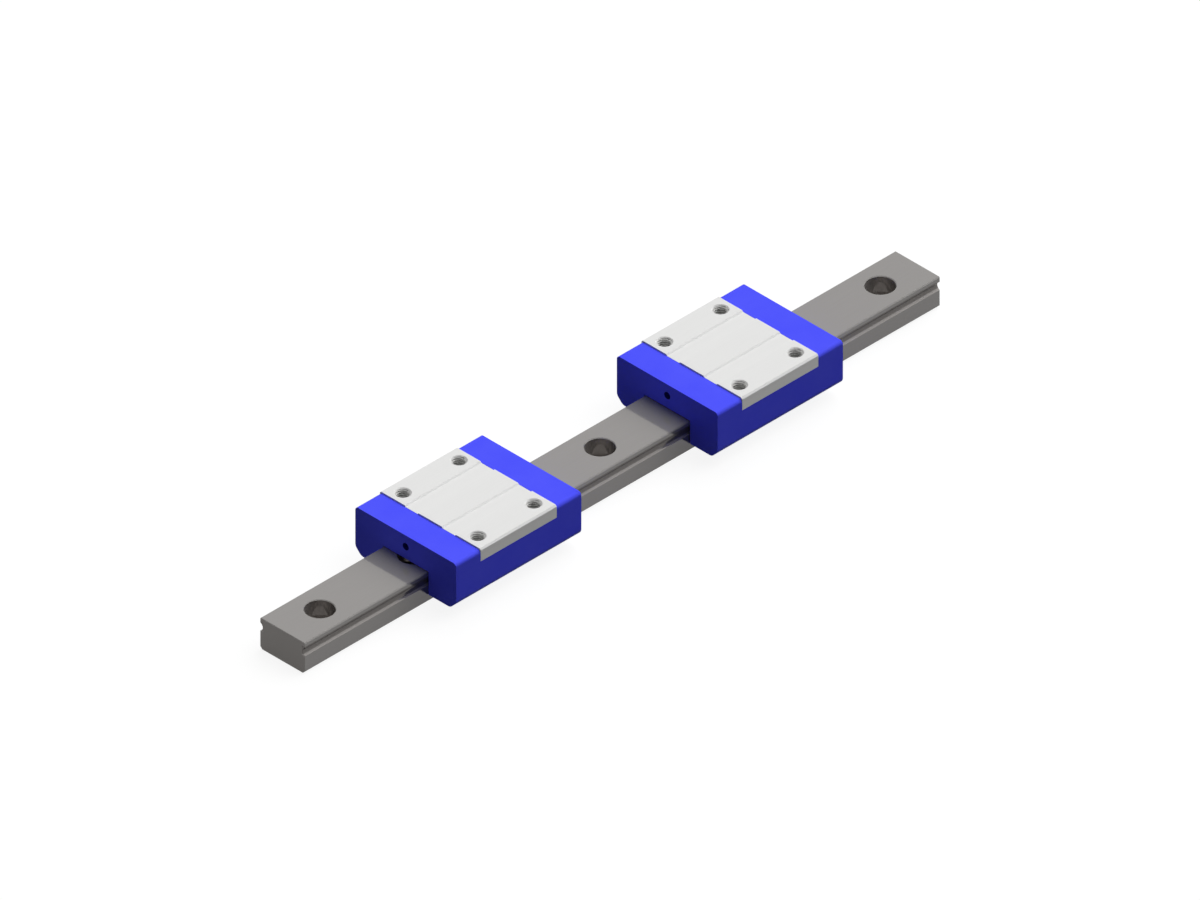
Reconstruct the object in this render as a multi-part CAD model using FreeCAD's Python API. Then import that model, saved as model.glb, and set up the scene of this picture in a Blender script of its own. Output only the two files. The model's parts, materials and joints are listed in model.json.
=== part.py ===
"""Miniature linear guide: a ground steel rail carrying two ball carriages that slide on it.

Every piece is written to its own STEP file. X runs along the rail, Y across it and Z up from the
rail's underside, and the rail's mid-length is at X = 0. A carriage's front end is the one at the
lower X, and its left side is the one at +Y. All sizes are in millimetres.
"""
import FreeCAD, Part
import itertools
import math
import os

V = FreeCAD.Vector
SIDEWAYS = V(0, 1, 0)
LENGTHWISE = V(1, 0, 0)

# Rail
rail_length = 170.0
rail_width = 12.0
rail_height = 7.2
rail_hole_pitch = 25.0
rail_end_distance = 10.0
screw_hole_diameter = 3.5
counterbore_diameter = 6.0
counterbore_depth = 4.5
rail_top_chamfer = 0.2
rail_base_chamfer = 0.6
rail_end_chamfer = 0.1
hole_rim_chamfer = 0.15

# Ball circuits: one on each side of a carriage, with a loaded row in the rail's groove
ball_diameter = 1.984
raceway_clearance = 0.03
raceway_depth = 0.64
ball_row_below_rail_top = 2.1
turn_radius = 1.755
ball_spacing_gap = 0.02

# Steel block of a carriage
tapped_hole_spacing = 15.0
tapped_hole_end_margin = 2.675
tapped_hole_side_margin = 3.5
tapped_hole_diameter = 3.0
tapped_hole_depth = 3.5
tapped_hole_rim = 0.2
block_top_above_rail = 5.8
flange_thickness = 2.85
rail_gap_above = 0.8
rail_gap_beside = 0.75
leg_outer_wall = 1.286
leg_foot_wall = 0.928
top_edge_chamfer = 0.35
relief_inner_edge = 3.1
relief_width = 3.8

# Plastic frame that holds the block and forms both end caps
block_stands_proud = 0.3
frame_side_wall = 1.25
frame_floor = 1.1
frame_end_wall = 1.6
frame_end_roof = 1.5
frame_top_rounding = 0.8
frame_bottom_bevel = 1.6
frame_bevel_rounding = 1.5
frame_rail_gap = 0.12
snap_rib_height = 0.3
snap_rib_below_flange = 1.6
snap_rib_end_margin = 2.0
grease_hole_diameter = 1.6
grease_hole_below_top = 2.9

# Inner pieces
turn_guide_gap = 0.03
turnaround_end_wall = 1.058
turnaround_side_wall = 0.836
grease_channel_width = 1.2
grease_channel_depth = 0.5
grease_port_width = 0.9
seal_thickness = 1.0
seal_lip_thickness = 0.35
seal_lip_gap = 0.1
seal_plate_gap = 0.6
seal_below_grease_hole = 0.4
ball_lip_gap = 0.1
fit_gap = 0.05

# Where the carriages stand on the rail, and what each one is called
near_carriage_x = -35.24
carriage_distance = 70.0
CARRIAGES = {"near": near_carriage_x, "far": near_carriage_x + carriage_distance}

# Ball rows
ball_radius = ball_diameter / 2
passage_radius = ball_radius + raceway_clearance
passage_facet = 2 * passage_radius * math.tan(math.pi / 8)
rail_side = rail_width / 2
loaded_row_y = rail_side - raceway_depth + passage_radius
return_row_y = loaded_row_y + 2 * turn_radius
turn_y = loaded_row_y + turn_radius
row_z = rail_height - ball_row_below_rail_top

# Block
leg_inner = rail_side + rail_gap_beside
leg_outer = return_row_y + passage_radius + leg_outer_wall
leg_foot = row_z - passage_radius - leg_foot_wall
half_width = leg_outer + fit_gap + frame_side_wall
block_length = tapped_hole_spacing + 2 * tapped_hole_end_margin
block_top = rail_height + block_top_above_rail
block_ceiling = rail_height + rail_gap_above
flange_bottom = block_top - flange_thickness
tapped_hole_y = half_width - tapped_hole_side_margin

# Frame and what its end caps hold, as distances from the carriage's middle
frame_top = block_top - block_stands_proud
floor_top = leg_foot - fit_gap
frame_bottom = floor_top - frame_floor
cavity_end = block_length / 2 + fit_gap
turnaround_length = turn_radius + passage_radius + turnaround_end_wall
turnaround_end = cavity_end + turnaround_length
seal_start = turnaround_end + fit_gap
seal_end = seal_start + seal_thickness
pocket_end = seal_end + fit_gap
carriage_length = 2 * (pocket_end + frame_end_wall)
insert_half_width = return_row_y + passage_radius + turnaround_side_wall
insert_bottom = floor_top + fit_gap
pocket_roof = frame_top - frame_end_roof
insert_top = pocket_roof - fit_gap
mouth_half_width = rail_side + frame_rail_gap
mouth_top = rail_height + frame_rail_gap
lip_inner = rail_side + ball_lip_gap
lip_outer = leg_inner - fit_gap
snap_rib_z = flange_bottom - snap_rib_below_flange
grease_hole_z = block_top - grease_hole_below_top
seal_top = grease_hole_z - grease_hole_diameter / 2 - seal_below_grease_hole


def box(x_span, y_span, z_span):
    """A block between two values on each axis."""
    low = V(x_span[0], y_span[0], z_span[0])
    return Part.makeBox(x_span[1] - x_span[0], y_span[1] - y_span[0], z_span[1] - z_span[0], low)


def symmetric(half_outline):
    """Close a left-hand outline of (y, z) points with its mirror image."""
    return half_outline + [(-y, z) for y, z in reversed(half_outline)]


def bar(outline, length):
    """Extrude a closed outline of (y, z) points along X, centred on X = 0."""
    corners = [V(-length / 2, y, z) for y, z in outline]
    face = Part.Face(Part.makePolygon(corners + corners[:1]))
    return face.extrude(V(length, 0, 0))


def rod(radius, length, y, z):
    """A round bar along X, centred on X = 0."""
    return Part.makeCylinder(radius, length, V(-length / 2, y, z), LENGTHWISE)


def diamond_bar(reach, length, y, z):
    """A bar along X whose square section stands on its corner, centred on X = 0."""
    return bar([(y - reach, z), (y, z - reach), (y + reach, z), (y, z + reach)], length)


def pair(shape):
    """A shape and its mirror image on the other side of the rail."""
    return [shape, shape.mirror(V(), SIDEWAYS)]


def both_ends(shape):
    """A shape and its mirror image at the other end of the carriage."""
    return [shape, shape.mirror(V(), LENGTHWISE)]


def long_edges(shape, y, z):
    """The edges along X that pass through the given |y| and z."""
    return [
        edge
        for edge in shape.Edges
        if abs(abs(edge.CenterOfMass.y) - y) < 1e-4 and abs(edge.CenterOfMass.z - z) < 1e-4
    ]


def rail_hole_places():
    """Screw hole positions: as many as fit at the pitch, centred on the rail."""
    count = int((rail_length - 2 * rail_end_distance) / rail_hole_pitch + 1e-6) + 1
    return [(i - (count - 1) / 2) * rail_hole_pitch for i in range(count)]


def countersunk_rim(radius, chamfer, place):
    """The small cone that breaks a hole's upper edge."""
    return Part.makeCone(radius, radius + chamfer, chamfer, place - V(0, 0, chamfer))


def make_rail():
    """Rail: ground bar with a ball groove along each side and counterbored screw holes."""
    outline = symmetric(
        [
            (rail_side - rail_base_chamfer, 0),
            (rail_side, rail_base_chamfer),
            (rail_side, rail_height - rail_top_chamfer),
            (rail_side - rail_top_chamfer, rail_height),
        ]
    )
    rail = bar(outline, rail_length)
    rail = rail.cut(pair(rod(passage_radius, rail_length, loaded_row_y, row_z)))
    ends = [edge for edge in rail.Edges if abs(abs(edge.CenterOfMass.x) - rail_length / 2) < 1e-6]
    rail = rail.makeChamfer(rail_end_chamfer, ends)
    head_radius = counterbore_diameter / 2
    for x in rail_hole_places():
        shank = Part.makeCylinder(screw_hole_diameter / 2, rail_height, V(x, 0, 0))
        seat = V(x, 0, rail_height - counterbore_depth)
        head = Part.makeCylinder(head_radius, counterbore_depth, seat)
        rim = countersunk_rim(head_radius, hole_rim_chamfer, V(x, 0, rail_height))
        rail = rail.cut([shank, head, rim])
    return rail


def tapped_hole(x, y):
    """A blind hole from the block's top, with a broken rim."""
    radius = tapped_hole_diameter / 2
    hole = Part.makeCylinder(radius, tapped_hole_depth, V(x, y, block_top - tapped_hole_depth))
    return hole.fuse(countersunk_rim(radius, tapped_hole_rim, V(x, y, block_top)))


def make_block():
    """Block: steel saddle with two legs, load grooves, return bores and four tapped holes."""
    # The two relief lanes are as deep as the block stands proud, and their walls slope at 45 degrees
    relief_depth = block_stands_proud
    relief_floor = block_top - relief_depth
    relief_outer_edge = relief_inner_edge + relief_width
    outline = symmetric(
        [
            (leg_inner, block_ceiling),
            (leg_inner, leg_foot),
            (leg_outer, leg_foot),
            (leg_outer, flange_bottom),
            (half_width, flange_bottom),
            (half_width, block_top - top_edge_chamfer),
            (half_width - top_edge_chamfer, block_top),
            (relief_outer_edge, block_top),
            (relief_outer_edge - relief_depth, relief_floor),
            (relief_inner_edge + relief_depth, relief_floor),
            (relief_inner_edge, block_top),
        ]
    )
    block = bar(outline, block_length)
    block = block.cut(pair(rod(passage_radius, block_length, loaded_row_y, row_z)))
    block = block.cut(pair(rod(passage_radius, block_length, return_row_y, row_z)))
    groove_reach = snap_rib_height + math.sqrt(2) * fit_gap
    block = block.cut(pair(diamond_bar(groove_reach, block_length, leg_outer + fit_gap, snap_rib_z)))
    hole_x = tapped_hole_spacing / 2
    holes = [tapped_hole(x, tapped_hole_y) for x in (-hole_x, hole_x)]
    for hole in holes:
        block = block.cut(pair(hole))
    return block


def frame_outside():
    """The frame's outer form: rounded along the top, bevelled and rounded along the bottom."""
    flat = half_width - frame_bottom_bevel
    outline = symmetric(
        [
            (flat, frame_bottom),
            (half_width, frame_bottom + frame_bottom_bevel),
            (half_width, frame_top),
        ]
    )
    outside = bar(outline, carriage_length)
    corners = long_edges(outside, flat, frame_bottom)
    corners += long_edges(outside, half_width, frame_bottom + frame_bottom_bevel)
    outside = outside.makeFillet(frame_bevel_rounding, corners)
    top_edges = long_edges(outside, half_width, frame_top)
    return outside.makeFillet(frame_top_rounding, top_edges)


def block_cavity():
    """The room for the block, above a floor whose inner lips hold up the loaded balls."""
    along = (-cavity_end, cavity_end)
    above = block_top
    inner_wall = leg_outer + fit_gap
    flange_room = box(along, (-half_width, half_width), (flange_bottom - fit_gap, above))
    saddle_room = box(along, (-inner_wall, inner_wall), (row_z, above))
    leg_room = box(along, (lip_outer, inner_wall), (floor_top, above))
    rail_room = box(along, (-lip_inner, lip_inner), (0, above))
    ball_room = rod(passage_radius, 2 * cavity_end, loaded_row_y, row_z)
    return [flange_room, saddle_room, rail_room] + pair(leg_room) + pair(ball_room)


def end_pocket():
    """The room in the rear end cap for the turnaround and the seal, open towards the block."""
    half = insert_half_width + fit_gap
    turnaround_room = box((cavity_end, seal_start), (-half, half), (floor_top, pocket_roof))
    seal_room = box((seal_start, pocket_end), (-half, half), (floor_top, seal_top + fit_gap))
    across = (-mouth_half_width, mouth_half_width)
    mouth = box((cavity_end, carriage_length / 2), across, (0, mouth_top))
    return turnaround_room.fuse([seal_room, mouth])


def grease_hole():
    """The hole along X through the rear end wall to the turnaround."""
    start = V(seal_start, 0, grease_hole_z)
    length = carriage_length / 2 - seal_start
    return Part.makeCylinder(grease_hole_diameter / 2, length, start, LENGTHWISE)


def make_frame():
    """Frame: one moulding of both end caps, the side rails and the floor, with two snap ribs."""
    frame = frame_outside().cut(block_cavity())
    frame = frame.cut(both_ends(end_pocket()))
    frame = frame.cut(both_ends(grease_hole()))
    rib_length = block_length - 2 * snap_rib_end_margin
    rib = diamond_bar(snap_rib_height, rib_length, leg_outer + fit_gap, snap_rib_z)
    return frame.fuse(pair(rib)).removeSplitter()


def make_ball_retainer():
    """Retainer: a channel under the block's ceiling whose edges hold the loaded balls from above."""
    outline = symmetric(
        [
            (lip_inner, mouth_top),
            (lip_inner, row_z),
            (lip_outer, row_z),
            (lip_outer, block_ceiling - fit_gap),
        ]
    )
    retainer = bar(outline, block_length)
    return retainer.cut(pair(rod(passage_radius, block_length, loaded_row_y, row_z)))


def make_turn_guide():
    """Turn guide: the half spool inside the rear left ball turn, with an eight-sided waist."""
    height = passage_radius - turn_guide_gap
    rim = turn_radius - passage_facet / 2 - turn_guide_gap
    waist = turn_radius - passage_radius
    lower_half = [(0, -height), (rim, -height), (waist, -passage_facet / 2)]
    section = lower_half + [(r, -z) for r, z in reversed(lower_half)]
    corners = [V(cavity_end, turn_y - r, row_z + z) for r, z in section]
    face = Part.Face(Part.makePolygon(corners + corners[:1]))
    return face.revolve(V(cavity_end, turn_y, row_z), V(0, 0, 1), 180)


def grease_channel():
    """Channels in a turnaround's outer face that carry grease from the port to both ball turns."""
    half = grease_channel_width / 2
    depth = (turnaround_end - grease_channel_depth, turnaround_end)
    across = box(depth, (-turn_y - half, turn_y + half), (grease_hole_z - half, grease_hole_z + half))
    down = box(depth, (turn_y - half, turn_y + half), (row_z - half, grease_hole_z))
    half_port = grease_port_width / 2
    port = box(
        (cavity_end + turn_radius, turnaround_end),
        (turn_y - half_port, turn_y + half_port),
        (row_z - half_port, row_z + half_port),
    )
    return [across] + pair(down) + pair(port)


def make_turnaround():
    """Turnaround: insert in an end cap that leads both ball rows from the groove to the return."""
    across = (-insert_half_width, insert_half_width)
    insert = box((cavity_end, turnaround_end), across, (insert_bottom, insert_top))
    mouth = (-mouth_half_width, mouth_half_width)
    insert = insert.cut(box((cavity_end, turnaround_end), mouth, (0, mouth_top)))
    floor_middle = V(cavity_end, turn_y, row_z - passage_radius)
    turn_room = Part.makeCylinder(turn_radius + passage_radius, 2 * passage_radius, floor_middle)
    insert = insert.cut(pair(turn_room))
    return insert.cut(grease_channel())


def seal_layer(start, end, gap):
    """A plate across the rail with an opening of the rail's section, grown by a gap."""
    across = (-insert_half_width, insert_half_width)
    plate = box((start, end), across, (insert_bottom, seal_top))
    opening = (-rail_side - gap, rail_side + gap)
    plate = plate.cut(box((start, end), opening, (0, rail_height + gap)))
    tongue = diamond_bar(passage_radius - gap, end - start, loaded_row_y, row_z)
    return plate.fuse(pair(tongue.translated(V((start + end) / 2, 0, 0))))


def make_seal():
    """Seal: a plate behind the end wall with a thin lip that follows the rail's section."""
    lip_start = seal_end - seal_lip_thickness
    seal = seal_layer(seal_start, lip_start, seal_plate_gap)
    return seal.fuse(seal_layer(lip_start, seal_end, seal_lip_gap)).removeSplitter()


def faceted_ball():
    """A ball as a solid of 20 flat faces whose corners lie on the ball's surface."""
    golden = (1 + math.sqrt(5)) / 2
    scale = ball_radius / math.sqrt(1 + golden**2)
    corners = []
    for a in (-scale, scale):
        for b in (-scale * golden, scale * golden):
            corners += [V(0, a, b), V(a, b, 0), V(b, 0, a)]
    edge = 2 * scale
    faces = []
    for a, b, c in itertools.combinations(corners, 3):
        sides = (a.distanceToPoint(b), b.distanceToPoint(c), c.distanceToPoint(a))
        if max(sides) < edge * 1.01:
            faces.append(Part.Face(Part.makePolygon([a, b, c, a])))
    return Part.makeSolid(Part.makeShell(faces))


def circuit_point(distance):
    """The place on the left-hand ball circuit at a distance along it from the loaded row's start."""
    straight = 2 * cavity_end
    turn = math.pi * turn_radius
    rear_half = distance < straight + turn
    along = distance if rear_half else distance - straight - turn
    swing = max(along - straight, 0) / turn_radius
    x = min(along, straight) - cavity_end + turn_radius * math.sin(swing)
    y = turn_radius * math.cos(swing)
    return V(x, turn_y - y, row_z) if rear_half else V(-x, turn_y + y, row_z)


def make_balls():
    """Balls: as many as the circuit holds, evenly spaced along it."""
    circuit = 4 * cavity_end + 2 * math.pi * turn_radius
    count = int(circuit / (ball_diameter + ball_spacing_gap))
    places = [circuit_point(i * circuit / count) for i in range(count)]
    ball = faceted_ball()
    return Part.makeCompound([ball.translated(place) for place in places])


def make_carriage():
    """All pieces of one carriage by name, with its middle at X = 0."""
    pieces = {
        "block": make_block(),
        "frame": make_frame(),
        "ball_retainer": make_ball_retainer(),
    }
    for maker, name in ((make_seal, "seal"), (make_turnaround, "turnaround")):
        rear, front = both_ends(maker())
        pieces["rear_" + name] = rear
        pieces["front_" + name] = front
    pieces["left_balls"], pieces["right_balls"] = pair(make_balls())
    for end, at_end in zip(("rear", "front"), both_ends(make_turn_guide())):
        for side, guide in zip(("left", "right"), pair(at_end)):
            pieces[f"{end}_{side}_turn_guide"] = guide
    return pieces


def main():
    os.makedirs("parts", exist_ok=True)
    make_rail().exportStep("parts/rail.step")
    carriage = make_carriage()
    for label, x in CARRIAGES.items():
        for name, piece in carriage.items():
            piece.translated(V(x, 0, 0)).exportStep(f"parts/{label}_{name}.step")
    print(f"carriage {carriage_length:.2f} x {2 * half_width:.2f}, top at {block_top:.2f}")


main()
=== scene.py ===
# %% [markdown]
# # A linear guide with two ball carriages
#
# A linear guide is a ground steel rail on which carriages roll on endless rows of balls. All its
# pieces come from the CAD model already, at their real size, so this lesson is about finish: ground
# steel that mirrors what stands on it, blue moulded plastic, and the few things that are too fine
# for CAD, such as the threads in the screw holes and the roundness of the balls.
# %% Load the CAD pieces
import json
import math

import bmesh
import bpy
from mathutils import Matrix, Vector


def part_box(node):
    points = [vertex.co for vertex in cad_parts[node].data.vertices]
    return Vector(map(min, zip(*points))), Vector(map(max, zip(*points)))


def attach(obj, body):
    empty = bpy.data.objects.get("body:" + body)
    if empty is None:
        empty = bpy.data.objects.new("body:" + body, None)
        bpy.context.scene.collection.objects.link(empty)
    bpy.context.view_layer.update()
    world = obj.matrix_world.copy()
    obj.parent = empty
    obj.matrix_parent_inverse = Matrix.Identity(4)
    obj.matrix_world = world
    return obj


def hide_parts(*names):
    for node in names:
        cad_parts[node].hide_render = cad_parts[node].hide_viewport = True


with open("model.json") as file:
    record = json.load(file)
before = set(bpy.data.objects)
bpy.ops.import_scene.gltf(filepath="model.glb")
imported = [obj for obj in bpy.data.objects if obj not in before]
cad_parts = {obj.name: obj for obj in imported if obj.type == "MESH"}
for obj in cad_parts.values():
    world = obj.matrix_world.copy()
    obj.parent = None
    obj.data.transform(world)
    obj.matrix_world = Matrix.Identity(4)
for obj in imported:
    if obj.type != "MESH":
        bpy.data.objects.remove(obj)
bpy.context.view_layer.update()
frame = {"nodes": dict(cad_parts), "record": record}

MM = 0.001
nodes = frame["nodes"]


# %% [markdown]
# ## The camera
#
# The photograph is isometric: it has no perspective, and the three axes of the object are equally
# foreshortened. An orthographic camera that looks down the diagonal of a cube gives that view. A
# long lens from far away would come close, but it would never make parallel edges quite parallel.
#
# Such a camera has no distance to judge by, so the width of its view sets the size in the picture.
# The middle of the picture shows the middle of the guide, halfway up its 13 mm.
# %% Camera
photo_width = 1200
pixels_per_mm = 5.2844
view_from = Vector((-1, -1, 1)).normalized()
picture_centre = Vector((0, 0, 6.5)) * MM
camera_distance = 1.0

camera = bpy.data.objects.new("photo_camera", bpy.data.cameras.new("photo_camera"))
bpy.context.scene.collection.objects.link(camera)
camera.data.type = "ORTHO"
camera.data.ortho_scale = photo_width / pixels_per_mm * MM
camera.data.clip_end = 10 * camera_distance
camera.location = picture_centre + view_from * camera_distance
camera.rotation_euler = view_from.to_track_quat("Z", "Y").to_euler()
bpy.context.scene.camera = camera
bpy.context.scene.view_settings.view_transform = "Standard"
print("view width in mm:", round(camera.data.ortho_scale / MM, 1))

# %% [markdown]
# ## Colours and nodes
#
# Colours are easiest to read as the hex values of a paint program, which are sRGB. Shader sockets
# want linear light, so one function turns one into the other.
#
# Another small function adds a node, sets its values and links its inputs, which keeps every
# material below short enough to read. A Mix node has sockets of one name for numbers and again for
# colours, so those are given by their place: _2 and _3 are its two numbers, and _6 and _7 are its
# two colours.
# %% Helpers for colours and nodes
MIX_COLOURS = {"data_type": "RGBA"}
MULTIPLY = {"operation": "MULTIPLY"}
MAXIMUM = {"operation": "MAXIMUM"}
GREATER_THAN = {"operation": "GREATER_THAN"}
LESS_THAN = {"operation": "LESS_THAN"}


def linear(hex_colour):
    """A hex colour such as 9C9A97 as linear red, green, blue and alpha."""
    channels = [int(hex_colour[i : i + 2], 16) / 255 for i in (0, 2, 4)]
    return [c / 12.92 if c <= 0.04045 else ((c + 0.055) / 1.055) ** 2.4 for c in channels] + [1]


def add_node(tree, kind, settings=None, **inputs):
    """Add a node with its settings, and give each named input a value or a link.

    An input called _2 is the third one. A node that is given as a value stands for its first
    output.
    """
    node = tree.nodes.new(kind)
    for name, value in (settings or {}).items():
        setattr(node, name, value)
    for name, value in inputs.items():
        key = int(name[1:]) if name[0] == "_" else name.replace("_", " ")
        if isinstance(value, bpy.types.Node):
            value = value.outputs[0]
        if isinstance(value, bpy.types.NodeSocket):
            tree.links.new(value, node.inputs[key])
        else:
            node.inputs[key].default_value = value
    return node


print("a mid grey, 808080, in linear light:", round(linear("808080")[0], 3))

# %% [markdown]
# ## Light
#
# In the photograph the rail darkens slowly towards each carriage, and only on the near side. So the
# light leans over from the far end, and it is very wide: close to an end cap most of it is hidden,
# and further out it comes back bit by bit. A sun lamp as wide as a studio's softbox does the same
# evenly over the whole length. A strength of pi is the plain level, at which a white sheet renders
# white, and a lamp that leans needs a little more than that.
#
# A second, weak lamp stands low at the near end. It lifts the end caps' front faces out of black.
# Both lamps are hidden from mirrors, because ground steel would show them as bright discs: it
# mirrors the white room instead.
# %% Lamps
plain_level = math.pi


def soft_sun(name, towards, share, width):
    """A sun lamp: where it stands, its share of the plain level and how many degrees it spans."""
    lamp = bpy.data.objects.new(name, bpy.data.lights.new(name, "SUN"))
    bpy.context.scene.collection.objects.link(lamp)
    lamp.data.energy = share * plain_level
    lamp.data.angle = math.radians(width)
    lamp.rotation_euler = Vector(towards).to_track_quat("Z", "Y").to_euler()
    lamp.visible_glossy = False


soft_sun("key_light", towards=(0.68, -0.06, 1), share=1.14, width=72)
soft_sun("fill_light", towards=(-1, 0.1, 0.25), share=0.06, width=30)
print("lamps:", ", ".join(lamp.name for lamp in bpy.data.lights))

# %% [markdown]
# ## Surroundings
#
# The background is white, but a white room would also fill every shaded side with light. Light Path
# tells which kind of ray asks: the camera, mirrors and glass see white, and the diffuse light that
# reaches the object's sides stays low. A darker room for every ray would be simpler, but then the
# background would be grey and so would everything that shines.
# %% White room
fill_level = 0.02


def sees_white(tree):
    """1 for rays of the camera and for reflected and refracted rays, and 0 for the others."""
    path = add_node(tree, "ShaderNodeLightPath").outputs
    camera_ray, glossy_ray = path["Is Camera Ray"], path["Is Glossy Ray"]
    either = add_node(tree, "ShaderNodeMath", MAXIMUM, _0=camera_ray, _1=glossy_ray)
    return add_node(tree, "ShaderNodeMath", MAXIMUM, _0=either, _1=path["Is Transmission Ray"])


world = bpy.data.worlds.new("studio")
bpy.context.scene.world = world
world.use_nodes = True
tree = world.node_tree
tree.nodes.clear()
level = add_node(tree, "ShaderNodeMapRange", Value=sees_white(tree), To_Min=fill_level, To_Max=1.0)
background = add_node(tree, "ShaderNodeBackground", Color=linear("FFFFFF"), Strength=level)
add_node(tree, "ShaderNodeOutputWorld", Surface=background)
print("the room lights shaded sides with", fill_level, "of its white")

# %% [markdown]
# ## Floor
#
# The guide lies on a pale floor, as on a sheet of paper in a studio. Seen directly or in a mirror
# the floor is mostly a white glow, and the small rest is matt paint that keeps the object's shadow.
# For light that bounces up from it the floor is dark, so that it doesn't light the shaded sides.
# %% Floor
floor_size = 6.0  # metres, so that its edges are far outside the picture
floor_gap = 0.02 * MM  # below the rail's underside, so that the two faces don't flicker
floor_glow = 1.04  # a little over white, so that the lit floor ends in the same white as the room
shadow_share = 0.14

floor_finish = bpy.data.materials.new("pale_floor")
floor_finish.use_nodes = True
tree = floor_finish.node_tree
tree.nodes.clear()
seen = sees_white(tree)
dark, pale = linear("4A4A4A"), linear("F4F4F4")
paint = add_node(tree, "ShaderNodeMix", MIX_COLOURS, Factor=seen, _6=dark, _7=pale)
matt = add_node(tree, "ShaderNodeBsdfDiffuse", Color=paint.outputs[2])
white = add_node(tree, "ShaderNodeEmission", Color=linear("FFFFFF"), Strength=floor_glow)
glow_share = add_node(tree, "ShaderNodeMath", MULTIPLY, _0=seen, _1=1 - shadow_share)
floor_mix = add_node(tree, "ShaderNodeMixShader", _0=glow_share, _1=matt, _2=white)
add_node(tree, "ShaderNodeOutputMaterial", Surface=floor_mix)

bpy.ops.mesh.primitive_plane_add(size=floor_size, location=(0, 0, -floor_gap))
floor = bpy.context.object
floor.name = "floor"
floor.data.materials.append(floor_finish)
print("floor side in m:", floor_size)

# %% [markdown]
# ## Ground steel
#
# A rail is hardened bearing steel, ground along its whole length. Grinding leaves fine scratches
# that all run one way, so the surface is glossy but draws its reflections out across the scratches.
# An image of brushed metal would do, but it has to be wrapped around each piece. A noise pattern in
# the piece's own space needs no wrapping: stretched along the rail, it varies the colour, the
# roughness and the height a little.
# %% Ground steel
scratch_width = 0.12 * MM  # real ones are 0.01 mm wide, which wouldn't show
scratch_length = 12 * MM
scratch_gloss = 0.04  # how far the roughness swings to each side


def ground_steel(name, colour, darker, metallic, roughness, relief, sheen=0.5):
    """Steel ground along X: two close shades, uneven gloss and a low relief of scratches."""
    material = bpy.data.materials.new(name)
    material.use_nodes = True
    tree = material.node_tree
    place = add_node(tree, "ShaderNodeTexCoord").outputs["Object"]
    stretch = (1 / scratch_length, 1 / scratch_width, 1 / scratch_width)
    along = add_node(tree, "ShaderNodeMapping", Vector=place, Scale=stretch)
    scratches = add_node(
        tree, "ShaderNodeTexNoise", Vector=along, Scale=1.0, Detail=2.0, Roughness=0.6
    ).outputs["Fac"]
    shade = add_node(
        tree, "ShaderNodeMix", MIX_COLOURS, Factor=scratches, _6=linear(darker), _7=linear(colour)
    )
    rougher, smoother = roughness + scratch_gloss, roughness - scratch_gloss
    gloss = add_node(tree, "ShaderNodeMapRange", Value=scratches, To_Min=rougher, To_Max=smoother)
    bump = add_node(tree, "ShaderNodeBump", Strength=0.25, Distance=relief, Height=scratches)
    surface = tree.nodes["Principled BSDF"]
    surface.inputs["Metallic"].default_value = metallic
    surface.inputs["Specular IOR Level"].default_value = sheen
    tree.links.new(shade.outputs[2], surface.inputs["Base Color"])
    tree.links.new(gloss.outputs[0], surface.inputs["Roughness"])
    tree.links.new(bump.outputs[0], surface.inputs["Normal"])
    return material


# %% [markdown]
# ## Four steels
#
# Steel is a metal, so its metallic share would be 1. But this room is all white, and so is any
# mirror in it, while the real rail is a mid grey that still mirrors its end caps. So only a third
# of the rail's finish is metal with a sharp reflection, and the rest is plain grey. The other
# surfaces that show have less metal in them for the same reason, and the balls, which are hidden
# from the room, are all metal.
#
# - The rail is ground fine: the eye sees a mid grey that turns dark and blue before an end cap.
# - A block's top is ground coarser: satin, almost white, with no reflection that can be followed.
# - A tap tears its way through the steel: the flanks of its thread shine a little, unevenly.
# - Balls are lapped, which is the smoothest finish of all: bright metal and sharp reflections.
# %% Steels of the rail, the blocks, their threads and the balls
rail_steel = ground_steel(
    "ground_rail_steel",
    "9C9A97",
    "949190",
    metallic=0.33,
    roughness=0.08,
    relief=0.001 * MM,
    sheen=0.1,
)
block_steel = ground_steel(
    "satin_ground_steel", "E6E6E5", "E0E0DF", metallic=0.05, roughness=0.4, relief=0.002 * MM
)
# Painted shade: the thread's steel is a shade darker than the block's, which darkens the tapped
# holes.
thread_steel = ground_steel(
    "cut_thread_steel", "D6D6D4", "CACAC8", metallic=0.3, roughness=0.35, relief=0.001 * MM
)
ball_steel = ground_steel(
    "polished_ball_steel", "D9D9D9", "D4D4D4", metallic=1.0, roughness=0.08, relief=0.0
)
steels = (rail_steel, block_steel, thread_steel, ball_steel)
print("steels:", ", ".join(steel.name for steel in steels))

# %% [markdown]
# ## Moulded plastic
#
# The end caps, side rails and floor of a carriage are one injection moulding of coloured polyamide.
# The mould is lightly spark-eroded, which gives the plastic a fine even grain and a soft sheen.
# Pigment also flows unevenly into a mould, so a second, much larger pattern moves the colour a
# little. Both patterns are the same kind of noise, at two scales.
# %% Moulded plastic
grain_size = 0.25 * MM  # real grain is about 0.1 mm across, which wouldn't show
grain_gloss = 0.05  # how far the roughness swings to each side
flow_size = 7 * MM


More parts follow.
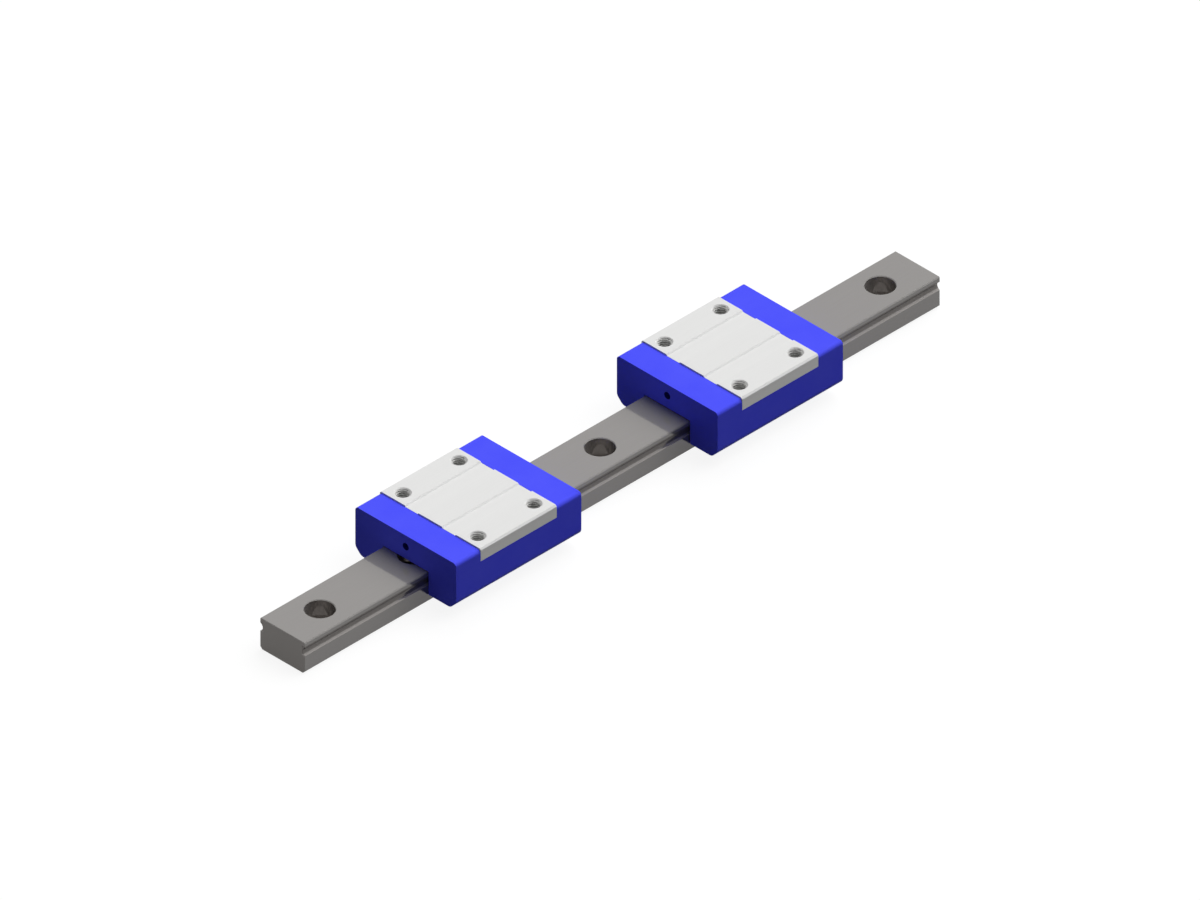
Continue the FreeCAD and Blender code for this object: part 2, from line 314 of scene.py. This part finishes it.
def moulded_plastic(name, colour, darker, roughness, sheen, relief):
    """Coloured plastic with the grain of a spark-eroded mould and soft clouds of pigment."""
    material = bpy.data.materials.new(name)
    material.use_nodes = True
    tree = material.node_tree
    place = add_node(tree, "ShaderNodeTexCoord").outputs["Object"]
    grain = add_node(
        tree, "ShaderNodeTexNoise", Vector=place, Scale=1 / grain_size, Detail=2.0
    ).outputs["Fac"]
    clouds = add_node(
        tree, "ShaderNodeTexNoise", Vector=place, Scale=1 / flow_size, Detail=3.0
    ).outputs["Fac"]
    shade = add_node(
        tree, "ShaderNodeMix", MIX_COLOURS, Factor=clouds, _6=linear(darker), _7=linear(colour)
    )
    smoother, rougher = roughness - grain_gloss, roughness + grain_gloss
    gloss = add_node(tree, "ShaderNodeMapRange", Value=grain, To_Min=smoother, To_Max=rougher)
    bump = add_node(tree, "ShaderNodeBump", Strength=0.2, Distance=relief, Height=grain)
    surface = tree.nodes["Principled BSDF"]
    surface.inputs["Specular IOR Level"].default_value = sheen
    tree.links.new(shade.outputs[2], surface.inputs["Base Color"])
    tree.links.new(gloss.outputs[0], surface.inputs["Roughness"])
    tree.links.new(bump.outputs[0], surface.inputs["Normal"])
    return material


# %% [markdown]
# ## Three plastics
#
# - Polyamide takes pigment deeply: the eye sees one strong blue and hardly any shine. A plastic's
#   specular level is 0.5, but in a white room that turns a dark blue side grey, so it is far less.
# - Acetal is the slippery plastic that balls can run on: a warm, waxy white with a soft gloss.
# - Nitrile rubber is filled with soot, so the seals that wipe the rail are nearly black and dull.
# %% Plastics of the frames, the inserts and the seals
blue_polyamide = moulded_plastic(
    "blue_polyamide", "575DFF", "4A50FD", roughness=0.4, sheen=0.03, relief=0.004 * MM
)
white_acetal = moulded_plastic(
    "white_acetal", "DDDACF", "D5D1C5", roughness=0.35, sheen=0.5, relief=0.002 * MM
)
black_rubber = moulded_plastic(
    "black_nitrile_rubber", "1E1E20", "161618", roughness=0.6, sheen=0.5, relief=0.006 * MM
)
plastics = (blue_polyamide, white_acetal, black_rubber)
print("plastics:", ", ".join(plastic.name for plastic in plastics))

# %% [markdown]
# ## Places with another finish
#
# One piece can carry several finishes. Separate materials would need the mesh cut apart along their
# edges. Here each place is a mask, worked out from where a point lies on the piece, and the mask
# blends a second colour and gloss into the material. The second colours here are painted shade and
# painted light, in part or in whole: they make a place darker or lighter than the lamps alone make
# it. The mesh stays as the CAD made it.
#
# The rail's two ends come first. A hardened rail is cut to length with an abrasive wheel, which
# leaves them dull. Their darker colour is painted shade, which makes the end faces look as if less
# light fell on them. The rail is the same on both sides of its middle, so each mask is worked out
# from absolute values, for one quarter of the rail.
# %% Dull ends of the rail, with painted shade
rail_half_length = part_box("rail")[1][0]
end_depth = 0.02 * MM  # the mask reaches this far in from the end faces


def blend_in(material, mask, colour, roughness, metallic=None):
    """Where a mask is 1, change a material's colour, roughness and, if given, metallic share."""
    tree = material.node_tree
    surface = tree.nodes["Principled BSDF"]
    old_shade = surface.inputs["Base Color"].links[0].from_socket
    old_gloss = surface.inputs["Roughness"].links[0].from_socket
    new_shade = linear(colour)
    shade = add_node(tree, "ShaderNodeMix", MIX_COLOURS, Factor=mask, _6=old_shade, _7=new_shade)
    gloss = add_node(tree, "ShaderNodeMix", Factor=mask, _2=old_gloss, _3=roughness)
    tree.links.new(shade.outputs[2], surface.inputs["Base Color"])
    tree.links.new(gloss.outputs[0], surface.inputs["Roughness"])
    if metallic is not None:
        elsewhere = surface.inputs["Metallic"].default_value
        share = add_node(tree, "ShaderNodeMix", Factor=mask, _2=elsewhere, _3=metallic)
        tree.links.new(share.outputs[0], surface.inputs["Metallic"])


tree = rail_steel.node_tree
place = add_node(tree, "ShaderNodeTexCoord").outputs["Object"]
mirrored = add_node(tree, "ShaderNodeVectorMath", {"operation": "ABSOLUTE"}, _0=place)
along, across, up = add_node(tree, "ShaderNodeSeparateXYZ", Vector=mirrored).outputs

cut_and_shaded_end = add_node(tree, "ShaderNodeMath", GREATER_THAN, _0=along, _1=rail_half_length - end_depth)
# Painted shade: 8E8A87 darkens the end faces; the rougher gloss is the real cut finish.
blend_in(rail_steel, cut_and_shaded_end, colour="8E8A87", roughness=0.3)
print("half the rail's length in mm:", round(rail_half_length / MM, 2))

# %% [markdown]
# ## Counterbores
#
# The heads of the screws sit in counterbores, which are milled. Their walls get a glossier, more
# metallic finish, so they mirror each other and the lit side shows as a soft streak in the shaded
# one. Their lighter colour is painted light, which lifts the shade inside the bores. The holes
# stand
# 25 mm apart and one is in the middle, so a point's distance to the nearest multiple of 25 mm finds
# them all.
# %% Glossy counterbores with painted light
hole_spacing = 25 * MM
counterbore_radius = 3 * MM
wall_depth = 0.01 * MM  # the mask reaches this far into the wall of a hole

shifted = add_node(tree, "ShaderNodeMath", {"operation": "ADD"}, _0=along, _1=hole_spacing / 2)
nearest = add_node(tree, "ShaderNodeMath", {"operation": "SNAP"}, _0=shifted, _1=hole_spacing)
from_hole = add_node(tree, "ShaderNodeMath", {"operation": "SUBTRACT"}, _0=along, _1=nearest)
spoke = add_node(tree, "ShaderNodeCombineXYZ", X=from_hole, Y=across)
radius = add_node(tree, "ShaderNodeVectorMath", {"operation": "LENGTH"}, _0=spoke).outputs["Value"]
painted_bore_light = add_node(
    tree, "ShaderNodeMath", LESS_THAN, _0=radius, _1=counterbore_radius + wall_depth
)
# Painted light: ABA7A4 lightens the walls of the bores; the gloss and the metallic share are real.
blend_in(rail_steel, painted_bore_light, colour="ABA7A4", roughness=0.05, metallic=0.6)
print("bright inside a radius in mm of:", round((counterbore_radius + wall_depth) / MM, 2))

# %% [markdown]
# ## Grooves
#
# The ball grooves are painted darker. It is painted shade, as if the hollow of the groove got less
# light, and it reaches a little way over their upper edge. Low down a lighter band is a painted
# highlight along the groove's lower lip. The groove's own curve could make the mask, but a point's
# height tells the painted shade and the painted highlight apart as well, with a short fade between.
# %% Painted shade and a painted highlight in the grooves
groove_middle = 5.6 * MM  # the rail's side is at 6 mm from its middle, the groove's bottom at 5.36
groove_reach = 0.41 * MM  # to both sides of that, which covers the groove and no more
groove_foot = 4.15 * MM
highlight_top = groove_foot + 0.3 * MM
shade_line = 6.35 * MM
fade = 0.1 * MM
foot_margin = 0.02 * MM

beside = add_node(
    tree,
    "ShaderNodeMath",
    {"operation": "COMPARE"},
    _0=across,
    _1=groove_middle,
    _2=groove_reach,
)
below = add_node(tree, "ShaderNodeMath", LESS_THAN, _0=up, _1=shade_line)
groove = add_node(tree, "ShaderNodeMath", MULTIPLY, _0=beside, _1=below)
shade_fade = add_node(
    tree, "ShaderNodeMapRange", Value=up, From_Min=highlight_top - fade, From_Max=highlight_top + fade
)
painted_groove_shade = add_node(tree, "ShaderNodeMath", MULTIPLY, _0=groove, _1=shade_fade)
# Painted shade: 827E7B darkens the groove and the band over its upper edge.
blend_in(rail_steel, painted_groove_shade, colour="827E7B", roughness=0.12)

above = add_node(tree, "ShaderNodeMath", GREATER_THAN, _0=up, _1=groove_foot - foot_margin)
under = add_node(tree, "ShaderNodeMath", LESS_THAN, _0=up, _1=highlight_top)
band = add_node(tree, "ShaderNodeMath", MULTIPLY, _0=above, _1=under)
painted_groove_highlight = add_node(tree, "ShaderNodeMath", MULTIPLY, _0=band, _1=beside)
# Painted highlight: A9A5A2 lightens a band along the groove's lower lip.
blend_in(rail_steel, painted_groove_highlight, colour="A9A5A2", roughness=0.08)
print("oiled between heights in mm of:", round(highlight_top / MM, 2), round(shade_line / MM, 2))

# %% [markdown]
# ## Grease holes
#
# Each end cap has a hole for the tip of a grease gun. Its inside is painted darker, as painted
# shade in the hollow. The mask is a cylinder along the rail: a point's distance to the hole's axis,
# whatever its place along X.
# %% Painted shade in the grease holes
grease_hole_radius = 0.8 * MM
grease_hole_height = 10.1 * MM

tree = blue_polyamide.node_tree
place = add_node(tree, "ShaderNodeTexCoord").outputs["Object"]
flat = add_node(tree, "ShaderNodeVectorMath", MULTIPLY, _0=place, _1=(0, 1, 1))
radius = add_node(
    tree,
    "ShaderNodeVectorMath",
    {"operation": "DISTANCE"},
    _0=flat,
    _1=(0, 0, grease_hole_height),
).outputs["Value"]
painted_hole_shade = add_node(
    tree, "ShaderNodeMath", LESS_THAN, _0=radius, _1=grease_hole_radius + wall_depth
)
# Painted shade: 3438B0 darkens the inside of the grease hole.
blend_in(blue_polyamide, painted_hole_shade, colour="3438B0", roughness=0.3)
print("darkened inside a radius in mm of:", round((grease_hole_radius + wall_depth) / MM, 2))

# %% [markdown]
# ## A finish for every CAD piece
#
# Both carriages are built from the same kinds of piece, and the last word of a piece's name says
# which kind it is. A table from that word to a finish covers them all. Naming each piece in turn
# would be longer, and a piece could be left out.
# %% Give every CAD piece its finish
finish_of = {
    "rail": rail_steel,
    "block": block_steel,
    "frame": blue_polyamide,
    "seal": black_rubber,
    "balls": ball_steel,
    "retainer": white_acetal,
    "turnaround": white_acetal,
    "guide": white_acetal,
}
for name, piece in nodes.items():
    piece.data.materials.clear()
    piece.data.materials.append(finish_of[name.split("_")[-1]])
print("kinds of piece:", len(finish_of), "pieces finished:", len(nodes))

# %% [markdown]
# ## Threads in the screw holes
#
# Each block has four M3 holes. A tapped hole is drilled, its mouth is countersunk, and a tap then
# cuts a helical groove with flanks at 60 degrees, whose ridges shade the wall. The thread's steel
# is also painted a little darker than the ground top, as painted shade inside the holes. A screw
# modifier could sweep the section, but the mouth's cone has to cut the first turns, so the ridge is
# written point by point: four corners for each pitch, and a 32nd of a pitch higher with each step
# round the hole.
# %% Shape of a thread
thread_pitch = 0.5 * MM
thread_height = 0.5413 * thread_pitch


def thread_corners(outer):
    """Radius and height of the four corners of one pitch of a metric thread in a hole.

    In sixteenths of a pitch, the flat root ends at 2 and the flat crest goes from 7 to 11.
    """
    inner = outer - thread_height
    root_end, crest_start, crest_end = (thread_pitch * part / 16 for part in (2, 7, 11))
    return [(outer, 0.0), (outer, root_end), (inner, crest_start), (inner, crest_end)]


print("thread height in mm:", round(thread_height / MM, 3))

# %% Ridge of a thread
thread_steps = 32
thread_depth = 3.2 * MM
mouth_widening = 0.2 * MM


def add_thread(mesh, mouth, outer):
    """Add the helical ridge of one tapped hole, whose mouth is a point on the block's top."""
    corners = thread_corners(outer)
    count = int(thread_depth / thread_pitch) * thread_steps
    columns = []
    for i in range(count + 1):
        angle = 2 * math.pi * i / thread_steps
        column = []
        for radius, height in corners:
            depth = max(thread_depth - i / thread_steps * thread_pitch - height, mouth_widening)
            cone = outer + mouth_widening - depth
            reach = min(max(radius, cone), outer)
            place = mouth + Vector((reach * math.cos(angle), reach * math.sin(angle), -depth))
            column.append(mesh.verts.new(place))
        columns.append(column)
    for left, right in zip(columns, columns[1:]):
        for a, b in ((0, 1), (1, 2), (2, 3)):
            mesh.faces.new((left[a], right[a], right[b], left[b]))
    for i in range(count - thread_steps):
        over, next_over = columns[i + thread_steps][0], columns[i + thread_steps + 1][0]
        mesh.faces.new((columns[i][3], columns[i + 1][3], next_over, over))


print("turns in each hole:", int(thread_depth / thread_pitch))

# %% [markdown]
# ## Where the threads go
#
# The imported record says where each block's holes are, how wide they are and how far apart they
# stand, so the threads are placed from the record and not from numbers written here a second time.
# They ride on their carriage and lie a hundredth of a millimetre inside the wall of the hole.
# %% Cut a thread in every tapped hole that the record names
wall_gap_mm = 0.01
thread_weld = 0.0005 * MM  # corners nearer to each other than this become one


def mesh_piece(name, mesh, finish, body):
    """Turn a bmesh into a piece of the scene that rides on a body and has a finish."""
    data = bpy.data.meshes.new(name)
    mesh.to_mesh(data)
    mesh.free()
    data.materials.append(finish)
    piece = bpy.data.objects.new(name, data)
    bpy.context.scene.collection.objects.link(piece)
    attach(piece, body)
    return piece


for mount in frame["record"]["mounts"]:
    if not mount["name"].endswith("_block_screws"):
        continue
    side = mount["name"].split("_")[0]
    sizes = mount["dims"]
    outer = (sizes["hole_r_mm"] - wall_gap_mm) * MM
    threads = bmesh.new()
    for x in (-0.5, 0.5):  # half a spacing to each side of the middle of the four
        for y in (-0.5, 0.5):
            shift = Vector((x * sizes["spacing_x_mm"], y * sizes["spacing_y_mm"], 0)) * MM
            add_thread(threads, Vector(mount["pos_m"]) + shift, outer)
    bmesh.ops.remove_doubles(threads, verts=threads.verts, dist=thread_weld)
    name, body = f"{side}_block_threads", f"{side}_carriage"
    piece = mesh_piece(name, threads, thread_steel, body)
    print(piece.name, "faces:", len(piece.data.polygons))

# %% [markdown]
# ## Round balls
#
# The CAD model keeps each ball as a solid of twenty flat faces, which is enough for its place and
# weight. Real bearing balls are the roundest things that are made in numbers, so here each circuit
# is made again: the centre of every faceted ball is found, and an icosphere of the same radius
# takes its place. An icosphere is used and not a UV sphere, because it has no poles that would
# catch the light.
# %% Balls
ball_weld = 0.01 * MM  # corners nearer to each other than this become one


def faceted_balls(mesh):
    """The corners of each ball in a mesh of many, found by walking along edges, ball by ball."""
    found = set()
    for start in mesh.verts:
        if start in found:
            continue
        found.add(start)
        ball = [start]
        for corner in ball:  # the list grows while it is read, until it holds the whole ball
            for edge in corner.link_edges:
                neighbour = edge.other_vert(corner)
                if neighbour not in found:
                    found.add(neighbour)
                    ball.append(neighbour)
        yield ball


for name in [n for n in nodes if n.endswith("_balls")]:
    faceted = bmesh.new()
    faceted.from_mesh(nodes[name].data)
    bmesh.ops.remove_doubles(faceted, verts=faceted.verts, dist=ball_weld)
    round_balls = bmesh.new()
    for ball in faceted_balls(faceted):
        centre = sum((corner.co for corner in ball), Vector()) / len(ball)
        radius = (ball[0].co - centre).length
        bmesh.ops.create_icosphere(
            round_balls, subdivisions=3, radius=radius, matrix=Matrix.Translation(centre)
        )
    faceted.free()
    for face in round_balls.faces:
        face.smooth = True
    body = name.split("_")[0] + "_carriage"
    piece = mesh_piece(f"{name}_polished", round_balls, ball_steel, body)
    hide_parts(name)
    print(piece.name, "radius in mm:", round(radius / MM, 4))
